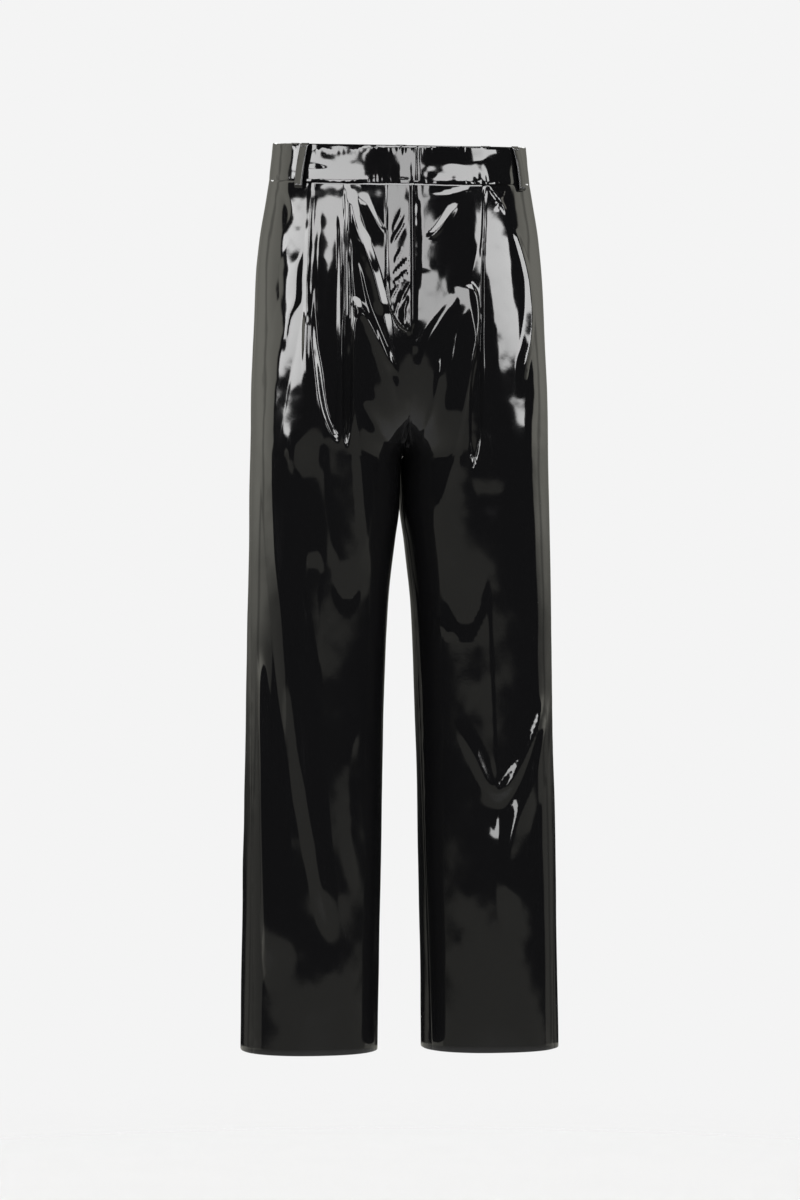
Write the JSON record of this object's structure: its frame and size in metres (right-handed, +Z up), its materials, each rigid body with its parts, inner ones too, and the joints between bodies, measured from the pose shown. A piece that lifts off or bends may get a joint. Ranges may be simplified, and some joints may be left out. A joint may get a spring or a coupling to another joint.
{
  "type": "vinyl trousers",
  "caption": "High-waisted black vinyl trousers with pleated fronts and straight wide legs, in their worn shape with no wearer",
  "frame": {"origin": "middle of the waist opening, level with the band's top edge at the sides", "axes": "+X to the wearer's left, -Y is the front, +Z up"},
  "size_m": [0.3696, 0.2506, 1.0634],
  "materials": {
    "vinyl": "patent gloss, vinyl-coated cloth",
    "pocketing": "plain matt twill",
    "zip_tape": "woven tape with a closed coil"
  },
  "bodies": {
    "root": {"front_right": "vinyl", "front_left": "vinyl", "back_right": "vinyl", "back_left": "vinyl", "waistband_right": "vinyl", "waistband_left": "vinyl", "fly_underlap": "vinyl", "fly_zip": "zip_tape", "pocket_bag_right": "pocketing", "pocket_bag_left": "pocketing", "belt_loop_front_right": "vinyl", "belt_loop_front_left": "vinyl", "belt_loop_side_right": "vinyl", "belt_loop_side_left": "vinyl", "belt_loop_back": "vinyl"}
  },
  "joints": []
}
